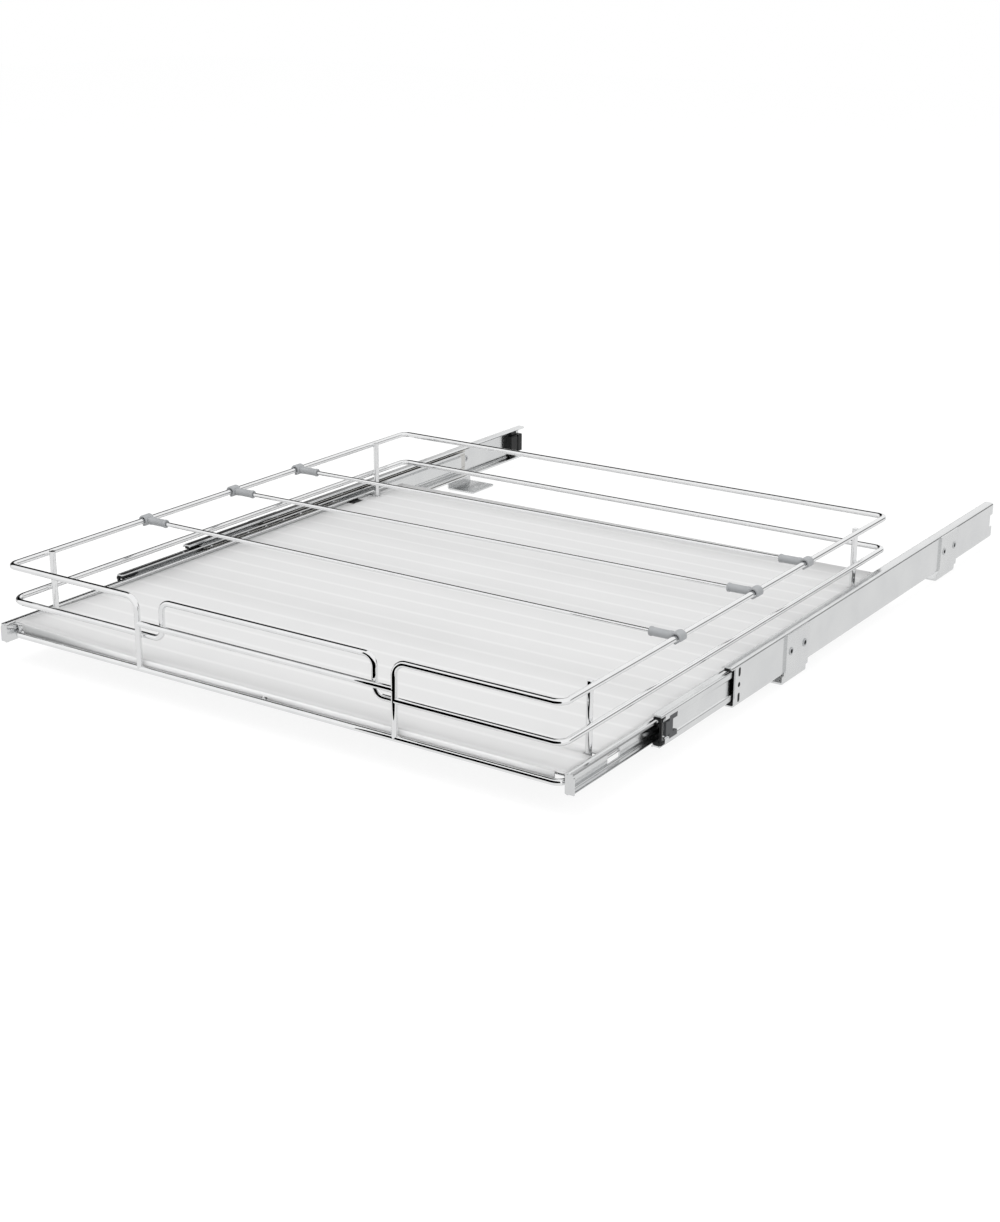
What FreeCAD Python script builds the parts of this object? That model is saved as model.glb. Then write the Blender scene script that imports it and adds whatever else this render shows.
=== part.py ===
import FreeCAD, Part
import math
import os

# Pull-out cabinet organizer: a chrome wire basket carried by two side-mounted ball-bearing slides.
# Millimetres. +X is to the right, +Y is into the cabinet and +Z is up.
# The origin is the centre of the four floor screws, on the cabinet floor.
# Along a slide, "out" is the distance from the slide's basket side towards the cabinet wall.

# Slide sizes
slide_length = 550.0
slide_height = 35.0
slide_thickness = 12.7
steel = 1.2
floor_gap = 9.0
inner_faces_apart = 536.0
member_end_gap = 0.5
rear_stop_length = 25.0
basket_pull = 225.8
middle_out = {"left": 93.0, "right": 111.0}
inner_lead = {"left": 5.5, "right": 0.0}
outer_top_lead = 6.0
outer_top_flange = 2.6

# Balls and cages
ball_diameter = 3.2
ball_gap = 0.3
outer_ball_pitch = 50.0
inner_ball_pitch = 25.8
cage_sheet = 0.5
cage_bend = 0.6
cage_reach = 0.4
cage_hole_clearance = 0.02
outer_cage_length = 346.0
inner_cage_length = 196.0
outer_cage_start = 96.0
inner_cage_start = 242.0
cage_end_margin = 7.5

# Ball tracks, as distances out from the basket side of the slide
inner_row_out = 5.2
outer_row_out = 6.0
inner_tip_out = 6.45
inner_tip_length = 0.8
inner_tip_rise = 0.3
inner_track_in = 1.9
inner_step = 0.9
inner_bend = 0.7
middle_rail_out = 9.75
middle_web_out = 8.35
middle_rail_low = 7.4
middle_web_high = 6.2
middle_tip_out = 2.4
middle_tip_length = 0.8
middle_step = 0.9
middle_step_rise = 0.6
middle_shoulder = 1.6
middle_bend = 0.8
middle_web_bend = 0.9
outer_tip_out = 3.6
outer_tip_length = 1.5
outer_tip_drop = 0.6
outer_bend = 0.9
outer_web_bend = 2.0
inner_cage_web_out = 7.2
outer_cage_web_out = 10.4
outer_cage_edge_out = 10.9
outer_cage_step = (7.1, 6.4)
cage_step_bend = 0.4

# Basket sizes
basket_depth = 540.0
basket_rise = 58.9
base_wire_drop = 1.3
middle_wire_drop = 29.4
frame_wire = 5.0
corner_radius = 8.0
wide_corner_radius = 14.0
front_post_half = 124.4
post_bend_radius = 10.5
bar_drop = 21.4
loop_half = 103.2
loop_top_drop = 1.2
loop_drop = 32.0
loop_bend_radius = 8.5
side_post_setbacks = {"front": 43.1, "rear": 485.4}
side_post_above = 2.0

# Floor sizes
cross_wire = 2.8
cross_wire_count = 24
cross_wire_setback = 7.0
cross_wire_pitch = 23.0
cross_wire_short = 1.6
liner_thickness = 1.2
liner_gap = 0.6
liner_side_gap = 7.1
liner_lip = 4.2
liner_notch_gap = 0.5

# Dividers: where each rod meets the left and right top wires, behind the basket's front
divider_ends = {"front": (160.1, 159.5), "middle": (275.0, 284.4), "rear": (368.3, 376.6)}
divider_rod = 3.6
clip_wall = 2.0
clip_gap = 0.3
clip_length = 10.0
clip_mouth = 4.4
clip_mouth_tilt = 35.0
sleeve_diameter = 7.0
sleeve_reach = 24.1
sleeve_bore_depth = 17.0

# Brackets
bracket_sheet = 1.6
bracket_width = 41.0
bracket_top = 16.2
bracket_hole_in = 23.2
bracket_hole = 5.5
bracket_reach = 33.3
bracket_edge = 2.5
bracket_bend = 1.0
bracket_foot_bend = 1.6
bracket_step_drop = 0.4
bracket_step_height = 1.6
front_bracket_setback = 107.0
rear_bracket_setback = 117.0
rivet_spacing = 25.0
rivet_lift = 1.0
rivet_diameter = 5.0
rivet_bore = 3.8
rivet_head = 6.8
rivet_head_height = 0.5

# Release lever
lever_pad_length = 15.0
lever_pad_height = 2.0
lever_pad_reach = 6.5
lever_pad_round = 5.5
lever_pad_lift = 3.0
lever_lift = 1.0
lever_nose = 2.0
lever_pad_inset = 68.5
lever_pivot_inset = 26.5
lever_thickness = 1.6
lever_height = 7.0
lever_gap = 0.3
lever_window_gap = 0.5
lever_pin = 3.0
lever_pin_clearance = 0.06
lever_pin_inset = 0.05
lever_head = 5.4
lever_head_height = 0.9

# Hooks that hold the basket's frame wire
hook_width = 11.0
hook_window_width = 17.0
hook_window_height = 8.2
hook_sheet = 1.0
hook_gap = 0.1
hook_root = 2.2
hook_bend = 0.7
front_hook_setback = 63.0
rear_hook_inset = 48.5

# End fittings of the slides
cap_length = 6.0
cap_front = 2.2
clip_arm_length = 17.0
clip_body_length = 10.5
clip_setback = 7.0
clip_arm_low = 5.0
clip_arm_width = 4.0
clip_seat_gap = 0.15
cap_gap = 0.35
collar_length = 12.0
rear_notch_depth = 6.0
rear_notch_height = 12.0
front_slot_setback = 6.6
front_slot_width = 3.6
front_slot_height = 7.5
front_slot_offset = 10.5
front_hole = 4.0
end_face_top = 6.7
end_face_reach = 7.4
end_face_round = 3.0
inner_web_bend = 1.5
cap_web_gap = 0.65
cap_tip_in = 1.0
cap_slot_half = 5.6
collar_setback = 0.5
collar_gap = 0.1
collar_tip_in = 2.0
collar_edge = 1.5
stop_half = 11.0
stop_tip_in = 0.6
stop_lug_in = 4.0
stop_gap = 0.1

# Places that follow from the sizes
slide_z = floor_gap + slide_height / 2
inner_face = inner_faces_apart / 2
bracket_spacing = slide_length - front_bracket_setback - rear_bracket_setback
rail_front = -bracket_spacing / 2 - front_bracket_setback
rail_rear = rail_front + slide_length
basket_front = rail_front - basket_pull
basket_back = basket_front + basket_depth
member_length = slide_length - rear_stop_length - member_end_gap
hook_places = (basket_front + front_hook_setback, basket_front + member_length - rear_hook_inset)
lever_pad_y = basket_front + member_length - lever_pad_inset
lever_pivot_y = basket_front + member_length - lever_pivot_inset
wire_r = frame_wire / 2
base_z = slide_z - base_wire_drop
top_z = base_z + basket_rise
middle_z = top_z - middle_wire_drop
frame_half = inner_face - wire_r
post_half = frame_half - frame_wire
cross_z = base_z + wire_r + cross_wire / 2
liner_z = cross_z + cross_wire / 2
outer_web = slide_thickness - steel / 2
outer_track = slide_height / 2 - steel
outer_row_z = outer_track - ball_gap - ball_diameter / 2
middle_flange = outer_row_z - ball_diameter / 2 - ball_gap - steel / 2
inner_row_z = middle_flange - steel / 2 - ball_gap - ball_diameter / 2
inner_track = inner_row_z - ball_diameter / 2 - ball_gap - steel / 2
inner_half = inner_track + inner_step
middle_half = middle_flange + middle_step_rise
channel_flat = outer_web - outer_web_bend
hook_top = wire_r + hook_gap + hook_sheet / 2 - base_wire_drop
through = 3.0
touch = 0.01
sides = {"left": -1, "right": 1}


def vec(x, y, z):
    return FreeCAD.Vector(x, y, z)


def export(shape, node):
    """Write one named piece to its own file."""
    shape.exportStep("parts/" + node + ".step")


def box(x0, x1, y0, y1, z0, z1):
    """A block between two opposite corners, given in either order."""
    low = vec(min(x0, x1), min(y0, y1), min(z0, z1))
    return Part.makeBox(abs(x1 - x0), abs(y1 - y0), abs(z1 - z0), low)


def slide_box(side, out0, out1, y0, y1, up0, up1):
    """A block placed by its distance out from the basket side of a slide and its height on the slide."""
    sign = sides[side]
    return box(sign * (inner_face + out0), sign * (inner_face + out1), y0, y1, slide_z + up0, slide_z + up1)


def slide_pin(side, out0, out1, y, up, radius):
    """A round pin that lies across a slide."""
    sign = sides[side]
    start = vec(sign * (inner_face + out0), y, slide_z + up)
    return Part.makeCylinder(radius, out1 - out0, start, vec(sign, 0, 0))


def corner_arcs(points, radii, closed=False):
    """Round the corners of a path: for each corner, where its arc starts, passes and ends."""
    arcs = []
    count = len(points)
    for i in range(count) if closed else range(1, count - 1):
        here = points[i]
        into = (here - points[i - 1]).normalize()
        away = (points[(i + 1) % count] - here).normalize()
        turn = into.getAngle(away)
        radius = radii[i] if isinstance(radii, (list, tuple)) else radii
        reach = radius * math.tan(turn / 2)
        start = here - into * reach
        end = here + away * reach
        inward = (away - into).normalize()
        centre = here + inward * (radius / math.cos(turn / 2))
        arcs.append((start, centre - inward * radius, end))
    return arcs


def rounded_path(points, radii, closed=False):
    """A wire through the points, with each corner as an arc."""
    arcs = corner_arcs(points, radii, closed)
    edges = []
    last = arcs[-1][2] if closed else points[0]
    for start, through, end in arcs:
        edges.append(Part.makeLine(last, start))
        edges.append(Part.Arc(start, through, end).toShape())
        last = end
    if not closed:
        edges.append(Part.makeLine(last, points[-1]))
    return Part.Wire(edges)


def bent_wire(points, diameter, radius, closed=False):
    """A round wire bent along the points."""
    path = rounded_path(points, radius, closed)
    first = path.Edges[0]
    start = first.valueAt(first.FirstParameter)
    ring = Part.Wire(Part.makeCircle(diameter / 2, start, first.tangentAt(first.FirstParameter)))
    pipe = Part.BRepOffsetAPI.MakePipeShell(path)
    pipe.add(ring)
    pipe.build()
    pipe.makeSolid()
    return pipe.shape()


def straight_wire(start, end, diameter):
    """A straight round wire or pin between two points."""
    along = end - start
    return Part.makeCylinder(diameter / 2, along.Length, start, along)


def sheet_outline(points, thickness, radii):
    """The closed outline of a folded strip whose centre line runs through flat points (out, up)."""
    flat = [vec(p[0], p[1], 0) for p in points]
    arcs = corner_arcs(flat, radii)
    up = vec(0, 0, 1)
    half = thickness / 2
    edges = []
    for hand in (1, -1):
        first = (flat[1] - flat[0]).normalize()
        last = flat[0] + up.cross(first) * half * hand
        line = []
        for i, (start, through, end) in enumerate(arcs):
            into = (flat[i + 1] - flat[i]).normalize()
            away = (flat[i + 2] - flat[i + 1]).normalize()
            mean = (into + away).normalize()
            a = start + up.cross(into) * half * hand
            b = through + up.cross(mean) * half * hand
            c = end + up.cross(away) * half * hand
            line.append(("line", last, a))
            line.append(("arc", a, b, c))
            last = c
        away = (flat[-1] - flat[-2]).normalize()
        line.append(("line", last, flat[-1] + up.cross(away) * half * hand))
        edges.append(line)
    left, right = edges
    close_end = ("line", left[-1][2], right[-1][2])
    close_start = ("line", left[0][1], right[0][1])
    return left + [close_end] + right + [close_start]


def folded_sheet(side, points, thickness, radii, y0, y1, lift=slide_z):
    """A folded strip, run along Y from y0 to y1 on one side of the basket."""
    sign = sides[side]
    edges = []
    for piece in sheet_outline(points, thickness, radii):
        ends = [vec(sign * (inner_face + p.x), y0, lift + p.y) for p in piece[1:]]
        if piece[0] == "line":
            edges.append(Part.makeLine(ends[0], ends[1]))
        else:
            edges.append(Part.Arc(ends[0], ends[1], ends[2]).toShape())
    face = Part.Face(Part.Wire(Part.__sortEdges__(edges)))
    return face.extrude(vec(0, y1 - y0, 0))


def mirrored_strip(half):
    """A strip that is the same above and below the slide's middle, from its upper half."""
    return half + [(out, -up) for out, up in reversed(half)]


def fused(shapes):
    """One solid from pieces that touch or overlap."""
    return shapes[0].multiFuse(shapes[1:]).removeSplitter()


# Slide members

def outer_member(side):
    """The cabinet member: a channel with ball tracks, front slots and a notched rear end."""
    top = outer_track + steel / 2
    half = [(outer_tip_out, outer_track - outer_tip_drop), (outer_tip_out + outer_tip_length, top), (outer_web, top)]
    radii = [0, outer_bend, outer_web_bend, outer_web_bend, outer_bend, 0]
    member = folded_sheet(side, mirrored_strip(half), steel, radii, rail_front - outer_top_lead, rail_rear)
    lead = slide_box(side, -through, slide_thickness + through, rail_front - outer_top_lead - through, rail_front,
                     -slide_height, slide_height / 2 - outer_top_flange)
    member = member.cut(lead)
    web = (slide_thickness - through, slide_thickness + through)
    y = rail_front + front_slot_setback
    cuts = [slide_pin(side, *web, y, 0, front_hole / 2)]
    for up in (front_slot_offset, -front_slot_offset):
        run = (front_slot_height - front_slot_width) / 2
        cuts.append(slide_box(side, *web, y - front_slot_width / 2, y + front_slot_width / 2, up - run, up + run))
        cuts.append(slide_pin(side, *web, y, up + run, front_slot_width / 2))
        cuts.append(slide_pin(side, *web, y, up - run, front_slot_width / 2))
    cuts.append(slide_box(side, *web, rail_rear - rear_notch_depth, rail_rear + through,
                          -rear_notch_height / 2, rear_notch_height / 2))
    for y in rivet_places():
        cuts.append(slide_pin(side, *web, y, rivet_lift, rivet_diameter / 2))
    return member.cut(fused(cuts))


def middle_front(side):
    return rail_front - middle_out[side]


def middle_member(side):
    """The middle member: tracks inside and out, with a cut front end that holds the bumper cap."""
    tip = middle_tip_out
    half = [(tip, middle_half), (tip + middle_tip_length, middle_half),
            (tip + middle_tip_length + middle_step, middle_flange),
            (middle_rail_out - middle_shoulder, middle_flange), (middle_rail_out, middle_half),
            (middle_rail_out, middle_rail_low), (middle_web_out, middle_web_high)]
    bends = [middle_bend, middle_bend, middle_bend, middle_web_bend, middle_bend, middle_bend]
    radii = [0] + bends + bends[::-1] + [0]
    y0 = middle_front(side)
    member = folded_sheet(side, mirrored_strip(half), steel, radii, y0, y0 + member_length)
    web = (middle_web_out - steel / 2 - touch, middle_rail_out + through)
    body = middle_flange - steel / 2 - cap_gap
    cuts = [slide_box(side, *web, y0 - through, y0 + cap_front, -body, body), cap_clip(side, 0.0)]
    for hand in (1, -1):
        cuts.append(slide_box(side, *web, y0, y0 + cap_length, hand * cap_slot_half, hand * body))
    return member.cut(cuts)


def inner_member(side):
    """The basket member: hooks for the frame wire, a folded front end and a window for the release lever."""
    track_out = inner_row_out - inner_track_in
    half = [(inner_tip_out, inner_track + inner_tip_rise), (inner_tip_out - inner_tip_length, inner_track),
            (track_out, inner_track), (track_out - inner_step, inner_half), (steel / 2, inner_half)]
    bends = [inner_bend, inner_bend, inner_bend, inner_web_bend]
    radii = [0] + bends + bends[::-1] + [0]
    y0 = basket_front - inner_lead[side]
    member = folded_sheet(side, mirrored_strip(half), steel, radii, y0, y0 + member_length)
    end = slide_box(side, 0, end_face_reach, y0, y0 + steel, -inner_half, end_face_top)
    corner = edges_along_y(end, sides[side] * (inner_face + end_face_reach), slide_z + end_face_top)
    end = end.makeFillet(end_face_round, corner)
    hooks = [inner_hook(side, y) for y in hook_places]
    web = (-through, steel)
    for y in hook_places:
        top = hook_top + hook_sheet / 2
        member = member.cut(slide_box(side, *web, y - hook_window_width / 2, y + hook_window_width / 2,
                                      top - hook_window_height, top))
    y = lever_pad_y
    reach = lever_pad_length / 2 + lever_gap
    top = lever_pad_lift + lever_pad_height + lever_lift + lever_window_gap
    member = member.cut(slide_box(side, *web, y - reach, y + reach, lever_pad_lift - lever_gap, top))
    member = member.cut(slide_pin(side, *web, lever_pivot_y, 0, lever_pin / 2))
    return fused([member, end] + hooks)


def edges_along_y(shape, x, z):
    """The edges that run along Y at the given X and Z."""
    return [e for e in shape.Edges if all(abs(v.X - x) < touch and abs(v.Z - z) < touch for v in e.Vertexes)]


def upright_edges(shape, x):
    """The vertical edges at the given X."""
    return [e for e in shape.Edges if all(abs(v.X - x) < touch for v in e.Vertexes)
            and abs(e.Vertexes[0].Z - e.Vertexes[1].Z) > touch and abs(e.Vertexes[0].Y - e.Vertexes[1].Y) < touch]


def inner_hook(side, y):
    """A tab folded out of the member's web and over the basket's frame wire."""
    down = -frame_wire - hook_gap - hook_sheet / 2
    tip = -base_wire_drop - wire_r / 2
    path = [(steel / 2, hook_top + hook_root), (steel / 2, hook_top), (down, hook_top), (down, tip)]
    radii = [0, hook_bend, hook_bend, 0]
    return folded_sheet(side, path, hook_sheet, radii, y - hook_width / 2, y + hook_width / 2)


# Balls and their cages

def ball_places(start, length, pitch):
    """Where the balls of a cage stand along it."""
    count = int((length - 2 * cage_end_margin) / pitch) + 1
    first = start + (length - (count - 1) * pitch) / 2
    return [first + i * pitch for i in range(count)]


def cage(side, start, length, pitch, row_out, row_z, edge, steps):
    """A sheet cage: a web between the members and two pierced strips that space the balls."""
    tip = row_out - ball_diameter / 2 - cage_reach
    path = mirrored_strip([(tip, row_z), (edge, row_z)] + steps)
    bends = [cage_bend] + [cage_step_bend] * len(steps)
    strip = folded_sheet(side, path, cage_sheet, [0] + bends + bends[::-1] + [0], start, start + length)
    holes = []
    radius = ball_diameter / 2 + cage_hole_clearance
    for y in ball_places(start, length, pitch):
        x = sides[side] * (inner_face + row_out)
        low = vec(x, y, slide_z - row_z - ball_diameter)
        holes.append(Part.makeCylinder(radius, 2 * (row_z + ball_diameter), low, vec(0, 0, 1)))
    return strip.cut(holes)


def balls(side, start, length, pitch, row_out, row_z):
    """The balls of one cage, upper and lower row."""
    x = sides[side] * (inner_face + row_out)
    solids = []
    for y in ball_places(start, length, pitch):
        for up in (row_z, -row_z):
            solids.append(Part.makeSphere(ball_diameter / 2, vec(x, y, slide_z + up)))
    return Part.makeCompound(solids)


# Plastic end fittings

def cap_clip(side, gap):
    """The grey clip behind the cap: a block and two arms in the middle member's web, or the cut for it."""
    y0 = middle_front(side) + clip_setback
    web = (middle_web_out - steel / 2, middle_rail_out + steel / 2)
    half = cap_slot_half - gap
    block = slide_box(side, *web, y0 + gap, y0 + clip_body_length - gap, -half, half)
    arms = []
    for hand in (1, -1):
        low = hand * (clip_arm_low + gap)
        high = hand * (clip_arm_low + clip_arm_width - gap)
        arms.append(slide_box(side, *web, y0 + clip_body_length / 2 + gap, y0 + clip_arm_length - gap, low, high))
    return fused([block] + arms)


def middle_cap(side):
    """The black bumper that closes the middle member's front end round the inner member."""
    y0 = middle_front(side)
    y1 = y0 + cap_length
    out0 = inner_tip_out + steel / 2 + cap_web_gap
    out1 = middle_rail_out + steel / 2
    high = middle_flange - steel / 2 - cap_gap
    low = inner_half + steel / 2 + cap_gap
    parts = [slide_box(side, out0, out1, y0, y0 + cap_front, -high, high)]
    for hand in (1, -1):
        parts.append(slide_box(side, out0, out1, y0, y1, hand * cap_slot_half, hand * high))
        parts.append(slide_box(side, middle_tip_out + cap_tip_in, out1, y0, y1, hand * low, hand * high))
    return fused(parts)


def front_collar(side):
    """The black buffer inside the cabinet member's front end."""
    y0 = rail_front + collar_setback
    y1 = y0 + collar_length
    out0 = outer_cage_edge_out - cage_sheet / 2 + collar_gap
    half = outer_track - collar_edge
    web = slide_box(side, out0, slide_thickness - steel, y0, y1, -half, half)
    low = middle_half + steel / 2 + cap_gap
    high = outer_track - collar_gap
    out0 = outer_tip_out + collar_tip_in
    parts = [web]
    for hand, lead in ((1, outer_top_lead), (-1, 0)):
        parts.append(slide_box(side, out0, channel_flat, y0 - lead, y1, hand * low, hand * high))
        parts.append(slide_box(side, channel_flat - touch, slide_thickness - steel, y0, y1, hand * low, hand * half))
    return fused(parts)


def rear_stop(side):
    """The black stop block at the closed end of the cabinet member."""
    y1 = rail_rear - rear_notch_depth / 2
    y0 = rail_rear - rear_stop_length + member_end_gap
    block = slide_box(side, outer_tip_out + stop_tip_in, slide_thickness - steel, y0, y1, -stop_half, stop_half)
    half = outer_track - stop_gap
    lug = slide_box(side, outer_tip_out + collar_tip_in, channel_flat, y0 + stop_lug_in, y1 - stop_lug_in, -half, half)
    return fused([block, lug])


# Release levers

def release_lever(side):
    """A plastic arm on a pin in the inner member, with a finger pad that reaches through the web."""
    pad_y = lever_pad_y
    pin_y = lever_pivot_y
    out0 = steel + lever_gap
    out1 = out0 + lever_thickness
    half = lever_height / 2
    nose_y = pad_y - lever_pad_length / 2
    tail_y = pad_y + lever_pad_length / 2
    pad_top = lever_pad_lift + lever_pad_height
    outline = [(pin_y, half), (nose_y, pad_top), (nose_y, lever_pad_lift - lever_nose), (tail_y, -half), (pin_y, -half)]
    sign = sides[side]
    x = sign * (inner_face + out0)
    points = [vec(x, y, slide_z + up) for y, up in outline]
    arm = Part.Face(Part.makePolygon(points + points[:1])).extrude(vec(sign * lever_thickness, 0, 0))
    arm = arm.fuse(slide_pin(side, out0, out1, pin_y, 0, half))
    pad = slide_box(side, -lever_pad_reach, out1, nose_y, tail_y, lever_pad_lift, pad_top)
    pad = pad.makeFillet(lever_pad_round, upright_edges(pad, sign * (inner_face - lever_pad_reach)))
    bore = slide_pin(side, 0, 2 * out1, pin_y, 0, lever_pin / 2 + lever_pin_clearance)
    return fused([arm, pad]).cut(bore)


def lever_rivet(side):
    """The pin a release lever turns on, fixed in the inner member's web."""
    y = lever_pivot_y
    end = steel + 2 * lever_gap + lever_thickness
    shaft = slide_pin(side, lever_pin_inset, end, y, 0, lever_pin / 2)
    return shaft.fuse(slide_pin(side, end, end + lever_head_height, y, 0, lever_head / 2)).removeSplitter()


# Brackets

def bracket_places():
    front = rail_front + front_bracket_setback
    return {"front": front, "rear": front + bracket_spacing}


def rivet_places():
    return [y + half for y in bracket_places().values() for half in (-rivet_spacing / 2, rivet_spacing / 2)]


def bracket(side, y):
    """An L bracket riveted to the cabinet member, stepped in under it and folded to a foot."""
    outside = slide_thickness + bracket_sheet / 2
    inside = slide_thickness - bracket_sheet / 2
    under = -slide_height / 2 - bracket_sheet / 2
    foot = -slide_z + bracket_sheet / 2
    step = under - bracket_step_drop
    tip = slide_thickness - bracket_reach
    path = [(outside, bracket_top), (outside, step), (inside, step - bracket_step_height), (inside, foot), (tip, foot)]
    radii = [0, bracket_bend, bracket_bend, bracket_foot_bend, 0]
    plate = folded_sheet(side, path, bracket_sheet, radii, y - bracket_width / 2, y + bracket_width / 2)
    plate = plate.makeFillet(bracket_edge, upright_edges(plate, sides[side] * (inner_face + tip)))
    low = vec(sides[side] * (inner_face + slide_thickness - bracket_hole_in), y, -through)
    cuts = [Part.makeCylinder(bracket_hole / 2, 2 * through, low)]
    for half in (-rivet_spacing / 2, rivet_spacing / 2):
        cuts.append(slide_pin(side, slide_thickness - through, slide_thickness + through, y + half,
                              rivet_lift, rivet_diameter / 2))
    return plate.cut(cuts)


def bracket_rivets():
    """Hollow rivets through the brackets and the cabinet members' webs."""
    solids = []
    inside = slide_thickness - steel
    outside = slide_thickness + bracket_sheet
    for side in sides:
        for y in rivet_places():
            shank = slide_pin(side, inside, outside, y, rivet_lift, rivet_diameter / 2)
            heads = [slide_pin(side, inside - rivet_head_height, inside, y, rivet_lift, rivet_head / 2),
                     slide_pin(side, outside, outside + rivet_head_height, y, rivet_lift, rivet_head / 2)]
            bore = slide_pin(side, inside - through, outside + through, y, rivet_lift, rivet_bore / 2)
            solids.append(fused([shank] + heads).cut(bore))
    return Part.makeCompound(solids)


# Basket wires

def base_frame():
    """The closed bottom wire, whose sides lie along the slides."""
    corners = [vec(frame_half, basket_front, base_z), vec(frame_half, basket_back, base_z),
               vec(-frame_half, basket_back, base_z), vec(-frame_half, basket_front, base_z)]
    return bent_wire(corners, frame_wire, corner_radius, True)


def top_wire(base):
    """One wire: up a front post, round the rim and down the other post, coped to the base wire."""
    post = front_post_half
    points = [vec(-post, basket_front, base_z), vec(-post, basket_front, top_z), vec(-frame_half, basket_front, top_z),
              vec(-frame_half, basket_back, top_z), vec(frame_half, basket_back, top_z),
              vec(frame_half, basket_front, top_z), vec(post, basket_front, top_z), vec(post, basket_front, base_z)]
    radii = [0, post_bend_radius, corner_radius, corner_radius, corner_radius, corner_radius, post_bend_radius, 0]
    return bent_wire(points, frame_wire, radii).cut(base)


def middle_wire(top):
    """The half-height wire, which butts against the front posts and turns widely at its front left corner."""
    post = front_post_half
    points = [vec(-post, basket_front, middle_z), vec(-frame_half, basket_front, middle_z),
              vec(-frame_half, basket_back, middle_z), vec(frame_half, basket_back, middle_z),
              vec(frame_half, basket_front, middle_z), vec(post, basket_front, middle_z)]
    radii = [0, wide_corner_radius, corner_radius, corner_radius, corner_radius, 0]
    return bent_wire(points, frame_wire, radii).cut(top)


def front_bar(top):
    """The short bar between the front posts."""
    z = top_z - bar_drop
    start = vec(-front_post_half, basket_front, z)
    return straight_wire(start, vec(front_post_half, basket_front, z), frame_wire).cut(top)


def front_loop():
    """The dipped wire behind the posts, which closes the front of the rim."""
    y = basket_front + frame_wire
    low = top_z - loop_drop
    high = top_z - loop_top_drop
    end = front_post_half + wire_r
    points = [vec(-end, y, low), vec(-loop_half, y, low), vec(-loop_half, y, high), vec(loop_half, y, high),
              vec(loop_half, y, low), vec(end, y, low)]
    return bent_wire(points, frame_wire, loop_bend_radius)


def side_post(side, y):
    """An upright welded inside the three side wires."""
    x = sides[side] * post_half
    return straight_wire(vec(x, y, base_z - side_post_above), vec(x, y, top_z + side_post_above), frame_wire)


def cross_places():
    return [basket_front + cross_wire_setback + i * cross_wire_pitch for i in range(cross_wire_count)]


def floor_cross_wires():
    """The thin wires across the floor, lying on the base wire."""
    end = inner_face - cross_wire_short
    return Part.makeCompound([straight_wire(vec(-end, y, cross_z), vec(end, y, cross_z), cross_wire)
                              for y in cross_places()])


def floor_centre_wire(base):
    """The front-to-back wire under the middle of the floor."""
    wire = straight_wire(vec(0, basket_front, base_z), vec(0, basket_back, base_z), frame_wire)
    return wire.cut(base)


def floor_liner():
    """The frosted sheet on the floor wires, with a turned-down front lip."""
    half = inner_face - liner_side_gap
    lip_half = post_half - wire_r - liner_gap
    front = basket_front + wire_r + liner_gap
    back = basket_back - wire_r - liner_gap
    sheet = box(-half, half, front, back, liner_z, liner_z + liner_thickness)
    lip = box(-lip_half, lip_half, front, front + liner_thickness, liner_z - liner_lip, liner_z + liner_thickness)
    notch_half = wire_r + liner_notch_gap
    notch_top = base_z + wire_r + liner_notch_gap
    notches = [box(-notch_half, notch_half, front - through, front + through, base_z, notch_top)]
    for sign in sides.values():
        for setback in side_post_setbacks.values():
            y = basket_front + setback
            notches.append(box(sign * lip_half, sign * inner_face, y - wire_r - liner_gap, y + wire_r + liner_gap,
                               base_z, liner_z + through))
    return fused([sheet, lip]).cut(notches)


# Dividers

def divider_end(which, side):
    """Where a divider's clip holds the top wire on one side."""
    y = divider_ends[which][0 if side == "left" else 1]
    return vec(sides[side] * frame_half, basket_front + y, top_z)


def divider_rod_shape(which):
    left = divider_end(which, "left")
    right = divider_end(which, "right")
    along = (right - left).normalize()
    inset = sleeve_reach - sleeve_bore_depth
    return straight_wire(left + along * inset, right - along * inset, divider_rod)


def divider_clip(which, side):
    """A plastic snap ring on the top wire with a sleeve that holds the rod's end."""
    here = divider_end(which, side)
    other = divider_end(which, "right" if side == "left" else "left")
    along = (other - here).normalize()
    bore = wire_r + clip_gap
    start = here - vec(0, clip_length / 2, 0)
    ring = Part.makeCylinder(bore + clip_wall, clip_length, start, vec(0, 1, 0))
    sleeve = Part.makeCylinder(sleeve_diameter / 2, sleeve_reach, here, along)
    body = ring.fuse(sleeve).removeSplitter()
    hole = Part.makeCylinder(bore, 2 * clip_length, here - vec(0, clip_length, 0), vec(0, 1, 0))
    inset = sleeve_reach - sleeve_bore_depth
    socket = Part.makeCylinder(divider_rod / 2, sleeve_reach, here + along * inset, along)
    deep = 2 * (bore + clip_wall)
    mouth = Part.makeBox(clip_mouth, 2 * clip_length, deep, vec(-clip_mouth / 2, -clip_length, -deep))
    mouth.rotate(vec(0, 0, 0), vec(0, 1, 0), sides[side] * -clip_mouth_tilt)
    mouth.translate(here)
    return body.cut([hole, socket, mouth])


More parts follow.
